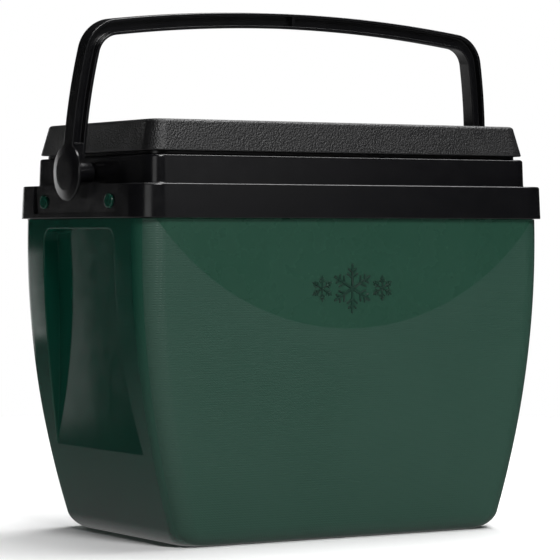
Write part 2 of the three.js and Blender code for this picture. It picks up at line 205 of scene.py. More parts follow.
# Name, place and size in metres, and power of each softbox
LIGHTS = (
    ("key", (-0.35, -2.3, 1.9), (0.9, 0.7), 62),
    ("top", (0.8, 0.3, 2.6), (2.0, 2.0), 100),
    ("back", (0.5, 3.2, 0.45), (2.4, 1.1), 16),
    ("side", (1.0, -2.4, 0.75), (0.7, 0.5), 0.55),
    ("corner", (-2.1, -1.75, 0.5), (1.1, 0.9), 3.6),
    ("rim", (-1.15, 3.2, -0.02), (1.05, 0.45), 1.5),
)
LIGHT_AIM = (0, 0, 0.25)


# ---------------------------------------------------------------- mesh tools
def spaced(start, stop, steps):
    return [start + (stop - start) * i / steps for i in range(steps + 1)]


def make(name, points, faces):
    """A mesh object from points in millimetres."""
    mesh = bpy.data.meshes.new(name)
    mesh.from_pydata([Vector(p) * MM for p in points], [], faces)
    work = bmesh.new()
    work.from_mesh(mesh)
    bmesh.ops.recalc_face_normals(work, faces=work.faces)
    work.to_mesh(mesh)
    work.free()
    obj = bpy.data.objects.new(name, mesh)
    bpy.context.scene.collection.objects.link(obj)
    return obj


def at(base, z, inset=0.0):
    """The rounded rectangle base (half length, half depth, corner radius) at z, drawn in by inset."""
    a, b, r = base
    return (a - inset, b - inset, max(r - inset, 0.2), z)


def arc(base, inset, z, radius, start, stop, steps=6):
    """Sections round an edge: angle 0 points outward and 90 degrees points up."""
    turns = [math.radians(t) for t in spaced(start, stop, steps)]
    return [at(base, z + radius * math.sin(t), inset - radius * math.cos(t)) for t in turns]


def ring(section):
    """The outline of one rounded rectangle, anticlockwise."""
    a, b, r, z = section
    points = []
    for x, y, start in ((1, 1, 0), (-1, 1, 90), (-1, -1, 180), (1, -1, 270)):
        for turn in spaced(start, start + 90, CORNER_STEPS):
            t = math.radians(turn)
            points.append((x * (a - r) + r * math.cos(t), y * (b - r) + r * math.sin(t), z))
    return points


def skin(name, rings, closed=False):
    """A closed skin through rings of equal length: joined end to end, or capped."""
    n = len(rings[0])
    points = [p for one in rings for p in one]
    faces = []
    for i in range(len(rings) if closed else len(rings) - 1):
        low, high = i * n, (i + 1) % len(rings) * n
        for j in range(n):
            k = (j + 1) % n
            faces.append((low + j, low + k, high + k, high + j))
    if not closed:
        faces.append(tuple(reversed(range(n))))
        faces.append(tuple(range(len(points) - n, len(points))))
    return make(name, points, faces)


def loft(name, sections, closed=False):
    return skin(name, [ring(s) for s in sections], closed)


def prism(name, outline, from_x, to_x):
    """An outline of (y, z) points, extruded along X."""
    return skin(name, [[(x, y, z) for y, z in outline] for x in (from_x, to_x)])


def turned(name, profile, steps=72):
    """A profile of (radius, x) points turned about the pivot axis; the ends lie on the axis."""
    rings = []
    for radius, x in profile:
        turns = [2 * math.pi * i / steps for i in range(steps)]
        rings.append([(x, radius * math.cos(t), PIVOT_Z + radius * math.sin(t)) for t in turns])
    return skin(name, rings)


def rounded(corners, steps=4):
    """A polygon of (x, y, radius) corners with each corner rounded."""
    points = []
    count = len(corners)
    for i, (x, y, radius) in enumerate(corners):
        here = Vector((x, y))
        before = (Vector(corners[i - 1][:2]) - here).normalized()
        after = (Vector(corners[(i + 1) % count][:2]) - here).normalized()
        if radius <= 0:
            points.append((x, y))
            continue
        half = before.angle(after) / 2
        reach = radius / math.tan(half)
        start, stop = here + before * reach, here + after * reach
        centre = here + (before + after).normalized() * radius / math.sin(half)
        a0, a1 = start - centre, stop - centre
        sweep = math.atan2(a0.x * a1.y - a0.y * a1.x, a0.dot(a1))
        for share in spaced(0, 1, steps):
            turn = Matrix.Rotation(sweep * share, 2)
            points.append(tuple(centre + turn @ a0))
    return points


def combine(obj, other, operation):
    """obj joined with, or cut by, other, which is used up."""
    change = obj.modifiers.new("change", "BOOLEAN")
    change.operation = operation
    change.solver = "MANIFOLD"
    change.object = other
    graph = bpy.context.evaluated_depsgraph_get()
    mesh = bpy.data.meshes.new_from_object(obj.evaluated_get(graph))
    obj.modifiers.clear()
    obj.data = mesh
    bpy.data.objects.remove(other)
    return obj


def cut(obj, *others):
    for other in others:
        combine(obj, other, "DIFFERENCE")
    return obj


def join(obj, *others):
    for other in others:
        combine(obj, other, "UNION")
    return obj


def turned_round(obj):
    """A copy of obj at the other end of the box."""
    mesh = obj.data.copy()
    mesh.transform(Matrix.Rotation(math.pi, 4, "Z"))
    copy = bpy.data.objects.new(obj.name + "_b", mesh)
    bpy.context.scene.collection.objects.link(copy)
    return copy


def leant(obj):
    """obj turned about the pivot axis, from upright towards the front."""
    pivot = Vector((0, 0, PIVOT_Z * MM))
    turn = Matrix.Rotation(math.radians(BAIL_LEAN), 4, "X")
    obj.data.transform(Matrix.Translation(pivot) @ turn @ Matrix.Translation(-pivot))
    return obj


def both_ends(obj):
    return join(obj, turned_round(obj))


def soften(obj, sharp=35.0):
    """Smooth shading that keeps real edges."""
    work = bmesh.new()
    work.from_mesh(obj.data)
    bmesh.ops.remove_doubles(work, verts=work.verts, dist=1e-6)
    for face in work.faces:
        face.smooth = True
    for edge in work.edges:
        edge.smooth = len(edge.link_faces) == 2 and edge.calc_face_angle(0) < math.radians(sharp)
    work.to_mesh(obj.data)
    work.free()
    normals = obj.modifiers.new("normals", "WEIGHTED_NORMAL")
    normals.keep_sharp = True
    return obj


# ---------------------------------------------------------------- material tools
class Look:
    """A node material built step by step on object coordinates."""

    def __init__(self, name):
        self.material = bpy.data.materials.new(name)
        self.material.use_nodes = True
        self.nodes = self.material.node_tree.nodes
        self.links = self.material.node_tree.links
        self.shader = self.nodes["Principled BSDF"]
        self.place = self.nodes.new("ShaderNodeTexCoord").outputs["Object"]

    def put(self, socket, value):
        if isinstance(value, bpy.types.NodeSocket):
            self.links.new(value, socket)
        else:
            socket.default_value = value

    def math(self, operation, a, b=0.0, c=0.0):
        node = self.nodes.new("ShaderNodeMath")
        node.operation = operation
        for socket, value in zip(node.inputs, (a, b, c)):
            self.put(socket, value)
        return node.outputs[0]

    def noise(self, scale, detail=2.0, rough=0.5, stretch=(1, 1, 1)):
        mapping = self.nodes.new("ShaderNodeMapping")
        self.put(mapping.inputs["Vector"], self.place)
        mapping.inputs["Scale"].default_value = stretch
        node = self.nodes.new("ShaderNodeTexNoise")
        self.put(node.inputs["Vector"], mapping.outputs[0])
        node.inputs["Scale"].default_value = scale
        node.inputs["Detail"].default_value = detail
        node.inputs["Roughness"].default_value = rough
        return node.outputs["Fac"]

    def cells(self, scale, smooth=0.6):
        node = self.nodes.new("ShaderNodeTexVoronoi")
        node.feature = "SMOOTH_F1"
        self.put(node.inputs["Vector"], self.place)
        node.inputs["Scale"].default_value = scale
        node.inputs["Smoothness"].default_value = smooth
        return node.outputs["Distance"]

    def axes(self):
        node = self.nodes.new("ShaderNodeSeparateXYZ")
        self.put(node.inputs[0], self.place)
        return node.outputs

    def span(self, value, low, high, to_low, to_high, smooth=False):
        node = self.nodes.new("ShaderNodeMapRange")
        if smooth:
            node.interpolation_type = "SMOOTHSTEP"
        for socket, one in zip(node.inputs, (value, low, high, to_low, to_high)):
            self.put(socket, one)
        return node.outputs[0]

    def mix(self, share, a, b):
        node = self.nodes.new("ShaderNodeMix")
        node.data_type = "RGBA"
        self.put(node.inputs[0], share)
        for socket, value in zip(node.inputs[6:8], (a, b)):
            self.put(socket, value if isinstance(value, bpy.types.NodeSocket) else (*value, 1))
        return node.outputs[2]

    def mix_value(self, share, a, b):
        """a where share is 0 and b where it is 1."""
        first = self.math("MULTIPLY", self.math("SUBTRACT", 1, share), a)
        return self.math("ADD", first, self.math("MULTIPLY", share, b))

    def edges(self, low, high):
        """1 on convex edges and 0 on flat ground."""
        return self.span(self.nodes.new("ShaderNodeNewGeometry").outputs["Pointiness"], low, high, 0, 1)

    def bump(self, height, distance, strength=1.0, under=None):
        node = self.nodes.new("ShaderNodeBump")
        self.put(node.inputs["Height"], height)
        node.inputs["Distance"].default_value = distance
        node.inputs["Strength"].default_value = strength
        if under is not None:
            self.put(node.inputs["Normal"], under)
        return node.outputs[0]

    def finish(self, colour, roughness, normal=None, specular=0.5):
        self.put(self.shader.inputs["Base Color"], colour)
        self.put(self.shader.inputs["Roughness"], roughness)
        self.shader.inputs["Specular IOR Level"].default_value = specular
        if normal is not None:
            self.put(self.shader.inputs["Normal"], normal)
        return self.material


# Measures for the materials, in metres: the lens's soft edge and the |y| that keeps it off the ends, how far
# behind the front wall the grain and the front colour with its painted sheen begin, and the pitch of the
# dotted grain
LENS_EDGE = 0.0006
LENS_WALL = (0.112, 0.1125)
GRAIN_START = (-0.0100, -0.0085)
SHEEN_COLOUR_START = (-0.026, -0.002)
GRAIN_ROW_PITCH = 0.0021
GRAIN_DOT_PITCH = 0.0026
# Pointiness at which an edge begins to look worn, and at which it is fully worn
WORN_EDGE = (0.53, 0.62)
GREEN_WORN_EDGE = (0.57, 0.66)
# Linear colours of the shell: the grained and lens colours of the front and back walls carry a painted grey
# sheen, lighter than the plain green of the smooth ends
GREEN_GRAINED_SHEEN = (0.0125, 0.050, 0.033)
GREEN_LENS_SHEEN = (0.0125, 0.048, 0.0305)
GREEN_SMOOTH = (0.0008, 0.031, 0.0195)
GREEN_WORN = (0.03, 0.075, 0.055)


def green_look():
    look = Look("green_shell")
    x, y, z = look.axes()
    # The smooth lens on the front and back, below the collar
    drop = look.math("SUBTRACT", z, LENS_CENTRE_Z * MM)
    squares = look.math("ADD", look.math("MULTIPLY", x, x), look.math("MULTIPLY", drop, drop))
    reach = look.math("SQRT", squares)
    radius = LENS_RADIUS * MM
    lens = look.span(reach, radius - LENS_EDGE, radius + LENS_EDGE, 1, 0, smooth=True)
    facing = look.span(look.math("ABSOLUTE", y), *LENS_WALL, 0, 1)
    lens = look.math("MULTIPLY", lens, facing)
    # The end walls are smooth; the grain starts halfway round the corners
    fall = look.math("SUBTRACT", 1, look.math("DIVIDE", z, BODY_TOP * MM))
    depth = look.math("MULTIPLY", look.math("MULTIPLY", fall, fall), -SIDE_TAPER * MM)
    depth = look.math("ADD", depth, look.math("MULTIPLY", fall, SIDE_SWELL * MM))
    depth = look.math("ADD", depth, BODY_HALF_DEPTH * MM)
    behind = look.math("SUBTRACT", look.math("ABSOLUTE", y), depth)
    ends = look.span(behind, *GRAIN_START, 1, 0)
    smooth = look.math("MAXIMUM", lens, ends)
    grained = look.math("SUBTRACT", 1, smooth)
    rows = look.math("SINE", look.math("MULTIPLY", z, 2 * math.pi / GRAIN_ROW_PITCH))
    along = look.math("ADD", x, y)
    dots = look.math("SINE", look.math("MULTIPLY", along, 2 * math.pi / GRAIN_DOT_PITCH))
    dots = look.math("MULTIPLY", rows, look.math("ADD", look.math("MULTIPLY", dots, 0.5), 0.6))
    grain = look.math("MULTIPLY", look.math("ADD", dots, look.noise(1400, 2)), grained)
    shade = look.noise(9, 3)
    speck = look.noise(900, 1)
    # Painted sheen: the front and back walls and the lens get the greyer, lighter green, while the end walls
    # get the plain darker green
    turn = look.span(behind, *SHEEN_COLOUR_START, 1, 0, smooth=True)
    colour = look.mix(lens, look.mix(turn, GREEN_GRAINED_SHEEN, GREEN_SMOOTH), GREEN_LENS_SHEEN)
    colour = look.mix(look.span(shade, 0.3, 0.7, 0, 0.12), colour, GREEN_WORN)
    specks = look.math("MULTIPLY", look.span(speck, 0.55, 0.75, 0, 0.18), grained)
    colour = look.mix(specks, colour, GREEN_WORN)
    colour = look.mix(look.math("MULTIPLY", look.edges(*GREEN_WORN_EDGE), 0.35), colour, GREEN_WORN)
    rough = look.mix_value(lens, look.span(ends, 0, 1, 0.5, 0.10), 0.27)
    rough = look.math("ADD", rough, look.span(look.noise(60, 4), 0.3, 0.7, -0.015, 0.02))
    wave = look.bump(look.noise(14, 1, stretch=(1, 1, 0.35)), 0.0012, 0.22)
    normal = look.bump(grain, 0.00012, 0.55, under=wave)
    return look.finish(colour, rough, normal, 0.45)


def gloss_look(name="black_gloss", colour=(0.0028, 0.0028, 0.0034), rough=0.22, worn=0.012):
    look = Look(name)
    shade = look.noise(11, 3)
    base = look.mix(look.span(shade, 0.3, 0.7, 0, 0.3), colour, tuple(c * 1.8 for c in colour))
    base = look.mix(look.math("MULTIPLY", look.edges(*WORN_EDGE), 0.5), base, (worn, worn, worn))
    roughness = look.span(look.noise(70, 4), 0.3, 0.7, rough - 0.03, rough + 0.05)
    wave = look.bump(look.noise(30, 1), 0.0006, 0.1)
    normal = look.bump(look.noise(1500, 2), 0.00004, 0.35, under=wave)
    return look.finish(base, roughness, normal, 0.5)


def grain_look():
    look = Look("black_grain")
    pebbles = look.math("SUBTRACT", 1, look.cells(620, 0.5))
    crumbs = look.noise(1300, 3, 0.6)
    height = look.math("ADD", pebbles, look.math("MULTIPLY", crumbs, 0.6))
    base = look.mix(look.span(height, 0.9, 1.5, 0, 1), (0.003, 0.003, 0.0035), (0.011, 0.011, 0.012))
    base = look.mix(look.math("MULTIPLY", look.edges(*WORN_EDGE), 0.4), base, (0.025, 0.025, 0.026))
    rough = look.span(look.noise(40, 3), 0.3, 0.7, 0.42, 0.56)
    return look.finish(base, rough, look.bump(height, 0.0006, 0.75), 0.5)


def light_look(name, colour, dark, rough, scale, depth):
    look = Look(name)
    base = look.mix(look.span(look.noise(scale, 3), 0.35, 0.7, 0, 1), colour, dark)
    base = look.mix(look.math("MULTIPLY", look.edges(*WORN_EDGE), 0.3), base, (0.95, 0.95, 0.93))
    roughness = look.span(look.noise(50, 3), 0.3, 0.7, rough - 0.06, rough + 0.08)
    return look.finish(base, roughness, look.bump(look.cells(scale * 4), depth, 0.5), 0.5)


# ---------------------------------------------------------------- camera, floor and light
def camera():
    azimuth, elevation = math.radians(CAMERA_AZIMUTH), math.radians(CAMERA_ELEVATION)
    ahead = Vector((
        math.sin(azimuth) * math.cos(elevation),
        math.cos(azimuth) * math.cos(elevation),
        -math.sin(elevation),
    ))
    low, high = (Vector(corner) for corner in cad_box)
    middle = (low + high) / 2
    target = middle + Vector(CAMERA_AIM_OFFSET)
    data = bpy.data.cameras.new("camera")
    data.lens = CAMERA_LENS
    data.sensor_width = SENSOR_WIDTH
    data.clip_start, data.clip_end = 0.1, 60
    obj = bpy.data.objects.new("camera", data)
    bpy.context.scene.collection.objects.link(obj)
    obj.location = target - ahead * CAMERA_DISTANCE
    obj.rotation_euler = ahead.to_track_quat("-Z", "Y").to_euler()
    bpy.context.scene.camera = obj


def softbox(name, location, size, power):
    data = bpy.data.lights.new(name, "AREA")
    data.shape = "RECTANGLE"
    data.size, data.size_y = size
    data.energy = power
    obj = bpy.data.objects.new(name, data)
    bpy.context.scene.collection.objects.link(obj)
    obj.location = location
    aim = Vector(LIGHT_AIM) - Vector(location)
    obj.rotation_euler = aim.to_track_quat("-Z", "Y").to_euler()


def studio():
    look = Look("pale_floor")
    pale = look.mix(look.span(look.noise(3, 3), 0.3, 0.7, 0, 1), (0.95, 0.95, 0.95), (0.93, 0.93, 0.93))
    material = look.finish(pale, 0.7, specular=0.1)
    turns = [2 * math.pi * i / 96 for i in range(96)]
    rim = [(FLOOR_RADIUS * math.cos(t), FLOOR_RADIUS * math.sin(t)) for t in turns]
    floor = skin("floor", [[(x, y, z) for x, y in rim] for z in FLOOR_Z])
    floor.data.materials.append(material)
    floor.visible_glossy = False
    # A white background, and a dim room round the object
    world = bpy.data.worlds.new("studio")
    bpy.context.scene.world = world
    world.use_nodes = True
    nodes, links = world.node_tree.nodes, world.node_tree.links
    room = nodes["Background"]
    room.inputs["Color"].default_value = (1, 1, 1, 1)
    # The room's light comes from below the horizon more than from above it
    place = nodes.new("ShaderNodeTexCoord").outputs["Generated"]
    axes = nodes.new("ShaderNodeSeparateXYZ")
    links.new(place, axes.inputs[0])
    fall = nodes.new("ShaderNodeMapRange")
    links.new(axes.outputs[2], fall.inputs[0])
    for socket, value in zip(fall.inputs[1:5], (*HORIZON, FLOOR_GLOW, ROOM_GLOW)):
        socket.default_value = value
    links.new(fall.outputs[0], room.inputs["Strength"])
    white = nodes.new("ShaderNodeBackground")
    white.inputs["Color"].default_value = (1, 1, 1, 1)
    white.inputs["Strength"].default_value = 1.0
    share = nodes.new("ShaderNodeMixShader")
    links.new(nodes.new("ShaderNodeLightPath").outputs["Is Camera Ray"], share.inputs[0])
    links.new(room.outputs[0], share.inputs[1])
    links.new(white.outputs[0], share.inputs[2])
    links.new(share.outputs[0], nodes["World Output"].inputs["Surface"])
    bpy.context.scene.view_settings.view_transform = "Standard"
    for name, location, size, power in LIGHTS:
        softbox(name, location, size, power)


# ---------------------------------------------------------------- green shell
def body_section(z, inset=0.0):
    """The outside of the tub at z, drawn in by inset."""
    fall = 1 - z / BODY_TOP
    lift = max(0.0, 1 - z / BASE_FILLET)
    turn_in = BASE_INSET * (1 - math.sqrt(max(0.0, 1 - lift * lift)))
    a = wall_x(z) - turn_in
    b = BODY_HALF_DEPTH + SIDE_SWELL * fall - SIDE_TAPER * fall * fall - turn_in
    return at((a, b, BODY_CORNER - BODY_CORNER_NARROWING * fall), z, inset)


def wall_x(z):
    """Half the tub's length at z, before its base is rounded."""
    fall = 1 - z / BODY_TOP
    return BODY_HALF_LENGTH + END_SWELL * fall - END_TAPER * fall * fall


def recess_floor_x(z):
    slope = (RECESS_FLOOR_TOP_X - RECESS_FLOOR_FOOT_X) / (RECESS_TOP - RECESS_FLOOR_FOOT_Z)
    return RECESS_FLOOR_FOOT_X + slope * (z - RECESS_FLOOR_FOOT_Z)


def curve(p0, p1, p2, steps):
    return [
        tuple((1 - t) ** 2 * a + 2 * t * (1 - t) * b + t * t * c for a, b, c in zip(p0, p1, p2))
        for t in spaced(0, 1, steps)
    ]


def recess_outline(margin):
    """The hand recess in (y, z), grown by margin: a flat top, round corners and a flared foot."""
    top, foot_z = RECESS_TOP + margin, RECESS_BOTTOM - margin
    upper, foot = RECESS_TOP_HALF_WIDTH + margin, RECESS_FOOT_HALF_WIDTH + margin
    corner = max(RECESS_CORNER + margin, 1.0)
    side = curve((foot, foot_z), (upper, RECESS_FLARE_HEIGHT), (upper, top - corner), 44)
    turns = [math.radians(t) for t in spaced(0, 90, 12)][1:]
    middle_y, middle_z = upper - corner, top - corner
    side += [(middle_y + corner * math.cos(t), middle_z + corner * math.sin(t)) for t in turns]
    other = [(-y, z) for y, z in reversed(side)]
    flat_top = [(middle_y * (1 - i / 8), top) for i in range(1, 8)]
    return side + flat_top + [(-y, z) for y, z in reversed(flat_top)] + other


def softer_max(a, b, reach):
    """The larger of a and b, blended where they are within reach of each other."""
    blend = max(reach - abs(a - b), 0.0) / reach
    return max(a, b) + blend * blend * reach / 4


def recess_cutter(name, margin, rim, deeper):
    """The hand recess as a solid: a rounded rim, drafted sides and a leaning flat floor."""
    levels = [(rim + 22, -16), (rim + 5.4, -2.0)]
    for turn in spaced(20, 90, 8):
        t = math.radians(turn)
        levels.append((rim - rim * math.sin(t), rim - rim * math.cos(t)))
    levels += [(-RECESS_DRAFT * depth, rim + depth) for depth in spaced(0, RECESS_DEPTH, 14)[1:]]
    rings = []
    for grow, depth in levels:
        outline = recess_outline(margin + grow)
        one = []
        for y, z in outline:
            floor = recess_floor_x(z) - deeper
            wall = wall_x(min(z, BODY_TOP)) - depth
            one.append((softer_max(floor, wall, RECESS_FLOOR_BLEND), y, z))
        rings.append(one)
    flat = [(recess_floor_x(z) - deeper, y, z) for y, z in recess_outline(margin - 1.2)]
    return skin(name, rings + [flat])


def oval(grow, steps=32):
    turns = [2 * math.pi * i / steps for i in range(steps)]
    return [((LUG_HALF[0] + grow) * math.cos(t), (LUG_HALF[1] + grow) * math.sin(t)) for t in turns]


def lug(name, y, grow, from_x, to_x, edge):
    """An oval snap lug along X, grown by grow, with its outer edge rounded."""
    levels = [(from_x, grow), (to_x - edge, grow)]
    for turn in (30, 60, 90):
        t = math.radians(turn)
        levels.append((to_x - edge + edge * math.sin(t), grow - edge * (1 - math.cos(t))))
    return skin(name, [[(x, y + dy, LUG_Z + dz) for dy, dz in oval(size)] for x, size in levels])


def shell():
    base = body_section(0)[:3]
    sections = [at(base, FOOT_RECESS, FOOT_RING + 1.5), at(base, FOOT_RECESS - 0.6, FOOT_RING + 0.4)]
    sections += arc(base, FOOT_RING - 0.8, 0.8, 0.8, 180, 270, 4)
    turns = [math.radians(t) for t in spaced(0, 90, 14)]
    sections += [body_section(BASE_FILLET * (1 - math.cos(t))) for t in turns]
    sections += [body_section(z) for z in spaced(BASE_FILLET, BODY_TOP - SHELL_EDGE, 44)[1:]]
    top = body_section(BODY_TOP)[:3]
    sections += arc(top, SHELL_EDGE, BODY_TOP - SHELL_EDGE, SHELL_EDGE, 0, 90, 3)
    sections += [at(NECK, BODY_TOP), at(NECK, NECK_TOP - SHELL_EDGE)]
    sections += arc(NECK, SHELL_EDGE, NECK_TOP - SHELL_EDGE, SHELL_EDGE, 0, 90, 3)
    outside = loft("shell", sections)
    heights = [SHELL_FLOOR] + spaced(BASE_FILLET, BODY_TOP - SHELL_WALL, 24)
    cavity = [body_section(z, SHELL_WALL) for z in heights]
    cavity += [at(NECK, BODY_TOP - SHELL_WALL, SHELL_WALL), at(NECK, NECK_TOP + PAST, SHELL_WALL)]
    boss = recess_cutter("boss", SHELL_WALL, INNER_RECESS_RIM, SHELL_WALL)
    hollow = cut(loft("hollow", cavity), both_ends(boss))
    cut(outside, both_ends(recess_cutter("recess", 0, RECESS_RIM, 0)), hollow)
    lugs = join(
        lug("lugs", LUG_Y, 0, NECK[0] - SUNK, LUG_FACE_X, LUG_EDGE),
        lug("lug", -LUG_Y, 0, NECK[0] - SUNK, LUG_FACE_X, LUG_EDGE),
    )
    return join(outside, both_ends(lugs))


# ---------------------------------------------------------------- emblem
def bar(name, start, end, width, bed):
    """A raised bar with a rounded end on the front wall, from start to end in (x, z)."""
    start, end = Vector(start), Vector(end)
    along = (end - start).normalized()
    rings = []
    wide = width / 2
    for rise, half in ((-bed, wide), (EMBLEM_RISE * 0.45, wide), (EMBLEM_RISE, wide - EMBLEM_BEVEL)):
        one = []
        for centre, first in ((end, -90), (start, 90)):
            for turn in spaced(first, first + 180, 8):
                t = math.radians(turn)
                cos, sin = math.cos(t), math.sin(t)
                offset = Vector((along.x * cos - along.y * sin, along.y * cos + along.x * sin))
                x, z = centre + offset * half
                one.append((x, -(body_section(z)[1] + rise), z))
        rings.append(one)
    return skin(name, rings)


def snowflake(name, x, z, size):
    arms = []
    for i in range(6):
        t = math.radians(60 * i + 30)
        out = Vector((math.cos(t), math.sin(t)))
        tip = Vector((x, z)) + out * size
        arms.append(bar("arm", (x, z), tip, size * 0.11, EMBLEM_BED))
        for place, reach in ((0.45, 0.30), (0.70, 0.22)):
            root = Vector((x, z)) + out * size * place
            for lean in (-55, 55):
                a = t + math.radians(lean)
                end = root + Vector((math.cos(a), math.sin(a))) * size * reach
                arms.append(bar("twig", root, end, size * 0.085, EMBLEM_BED))
    flake = join(arms[0], *arms[1:])
    flake.name = name
    return flake


def emblem():
    middle = snowflake("front_emblem", 0, EMBLEM_Z, LARGE_FLAKE)
    left = snowflake("left", -FLAKE_SPACING, EMBLEM_Z, SMALL_FLAKE)
    right = snowflake("right", FLAKE_SPACING, EMBLEM_Z, SMALL_FLAKE)
    return join(middle, left, right)


# ---------------------------------------------------------------- collar, liner and lid
def collar():
    lip = COLLAR_LIP_EDGE
    skirt_inset, tier_inset = SKIRT_FLARE + SKIRT_EDGE, TIER_DRAFT + TIER_EDGE
    profile = arc(SKIRT, lip, SKIRT_FOOT_Z + lip, lip, -90, 0, 4)
    profile += arc(SKIRT, skirt_inset, SKIRT_TOP_Z - SKIRT_EDGE, SKIRT_EDGE, 0, 90, 7)
    # A small fillet where the tier rises from the skirt
    profile += [at(TIER, SKIRT_TOP_Z + rise, -outset) for rise, outset in ((0, 1.0), (0.3, 0.3), (1.0, 0))]
    profile += arc(TIER, tier_inset, TIER_TOP_Z - TIER_EDGE, TIER_EDGE, 0, 90, 8)
    profile += arc(OPENING, -lip, TIER_TOP_Z - lip, lip, 90, 180, 4)
    profile += [at(OPENING, TIER_TOP_Z - PLATE), at(TIER_INSIDE, TIER_TOP_Z - PLATE)]
    profile += [at(TIER_INSIDE, SKIRT_TOP_Z - PLATE), at(SKIRT_INSIDE, SKIRT_TOP_Z - PLATE)]
    profile += [at(SKIRT_INSIDE, SKIRT_FOOT_Z)]
    ring_piece = loft("collar", profile, closed=True)
    half, foot_z, low_x = SKIRT_POCKET
    edge = SKIRT_POCKET_CORNER
    low = rounded([(-half, foot_z, edge), (half, foot_z, edge), (half, PIVOT_Z, 0), (-half, PIVOT_Z, 0)])
    half, top_z, high_x = TIER_POCKET
    foot_z = SKIRT_TOP_Z - 0.01
    edge = TIER_POCKET_CORNER
    high = rounded([(-half, foot_z, 0), (half, foot_z, 0), (half, top_z, edge), (-half, top_z, edge)])
    low = prism("pocket", low, low_x, SKIRT[0] + PAST)
    pockets = join(low, prism("upper", high, high_x, TIER[0] + PAST))
    bore = PIN_RADIUS + GAP
    ends = (TIER_INSIDE[0] - PAST, TIER[0] + PAST)
    hole = turned("hole", [(0, ends[0]), (bore, ends[0]), (bore, ends[1]), (0, ends[1])], 48)
    reach = (SKIRT_INSIDE[0] - PAST, SKIRT[0] + PAST)
    holes = [lug("slot", y, LUG_HOLE_GAP, *reach, LUG_HOLE_EDGE) for y in (LUG_Y, -LUG_Y)]
    return cut(ring_piece, both_ends(pockets), both_ends(hole), *[both_ends(one) for one in holes])


def liner_section(z, outset=0.0):
    """The liner's inside at z, grown by outset."""
    wall = body_section(min(z, BODY_TOP), INSULATION)
    lift = max(0.0, 1 - (z - LINER_FLOOR_Z) / LINER_FILLET)
    turn_in = LINER_FILLET * (1 - math.sqrt(max(0.0, 1 - lift * lift)))
    a = min(LINER_MOUTH[0], wall[0]) - turn_in + outset
    b = min(LINER_MOUTH[1], wall[1]) - turn_in + outset
    return (a, b, LINER_MOUTH[2] + outset - turn_in / 2, z)


def liner():
    turns = [math.radians(t) for t in spaced(0, 90, 10)]
    fillet = [LINER_FLOOR_Z + LINER_FILLET * (1 - math.cos(t)) for t in turns]
    heights = fillet + spaced(LINER_FLOOR_Z + LINER_FILLET, BODY_TOP, 24)[1:]
    mouth = liner_section(BODY_TOP)[:3]
    outside = [liner_section(z, LINER_WALL) for z in heights]
    sections = [(*outside[0][:3], LINER_FLOOR_Z - LINER_WALL)] + outside
    rim_top = TIER_TOP_Z - PLATE - GAP
    rim_foot = rim_top - LINER_RIM_THICKNESS
    sections += [at(mouth, rim_foot, -LINER_WALL), at(LINER_RIM, rim_foot)]
    sections += [at(LINER_RIM, rim_top), at(mouth, rim_top, -LINER_WALL)]
    sections += arc(mouth, -LINER_WALL / 2, LINER_LIP_Z - LINER_WALL / 2, LINER_WALL / 2, 0, 180, 8)
    sections += [liner_section(z) for z in reversed(heights)]
    return loft("liner", sections)


def lid():
    sections = arc(LID_FOOT, LID_FOOT_EDGE, LID_FOOT_Z + LID_FOOT_EDGE, LID_FOOT_EDGE, -90, 0, 5)
    sections += arc(LID_TOP, LID_EDGE, LID_TOP_Z - LID_EDGE, LID_EDGE, 6, 90, 10)
    outside = loft("lid", sections)
    floor, ceiling = LID_FOOT_Z + LID_WALL, LID_TOP_Z - LID_WALL
    inside = loft("inside", [at(LID_FOOT, floor, LID_WALL), at(LID_TOP, ceiling, LID_WALL)])
    mouth = loft("mouth", [at(LID_LIP, LID_FOOT_Z - PAST), at(LID_LIP, LID_FOOT_Z + PAST)])
    return cut(outside, inside, mouth)


def lid_pan():
    top = LID_FOOT_Z - GAP
    flange_foot = top - PAN_FLANGE
    sections = arc(PLUG, PLUG_EDGE, PLUG_FOOT_Z + PLUG_EDGE, PLUG_EDGE, -90, 0, 6)
    sections += [at(PLUG, flange_foot), at(PAN, flange_foot, PAN_BEVEL), at(PAN, flange_foot + PAN_BEVEL)]
    sections += [at(PAN, top), at(PLUG, top, PLUG_WALL), at(PLUG, PLUG_FOOT_Z + PLUG_WALL, PLUG_WALL)]
    return loft("lid_pan", sections)


# ---------------------------------------------------------------- bail handle
def bail_arcs():
    """The right half's outer edge, from the pivot up: centre, radius, start, stop and steps of each arc."""
    arm = Vector((ARM_X - ARM_CURVE, PIVOT_Z))
    bar_centre = Vector((0, BAR_TOP_Z - BAR_CURVE))
    to_arm, to_bar = ARM_CURVE - BAIL_CORNER, BAR_CURVE - BAIL_CORNER
    between = bar_centre - arm
    distance = between.length
    along = (to_arm ** 2 - to_bar ** 2 + distance ** 2) / (2 * distance)
    across = math.sqrt(to_arm ** 2 - along ** 2)
    way = between / distance
    corner = arm + Vector((way.x * along - way.y * across, way.y * along + way.x * across))
    start = math.asin((ARM_START_Z - PIVOT_Z) / ARM_CURVE)
    turn = math.atan2(corner.y - arm.y, corner.x - arm.x)
    flat = math.atan2(corner.y - bar_centre.y, corner.x - bar_centre.x)
    return [
        (arm, ARM_CURVE, start, turn, ARM_STEPS),
        (corner, BAIL_CORNER, turn, flat, BAIL_CORNER_STEPS),
        (bar_centre, BAR_CURVE, flat, math.pi / 2, BAR_STEPS),
    ]


def bail_section():
    """The bail's I section as (depth from the outer edge, y), with its edges rounded."""
    half, web, far = BAIL_WIDTH / 2, WEB / 2, BAIL_THICKNESS
    edge, root = 0.9, 0.8
    side = [
        (0, half, edge), (FLANGE, half, edge), (FLANGE, web, root),
        (far - FLANGE, web, root), (far - FLANGE, half, edge), (far, half, edge),
    ]
    return rounded(side + [(n, -y, r) for n, y, r in reversed(side)], 4)


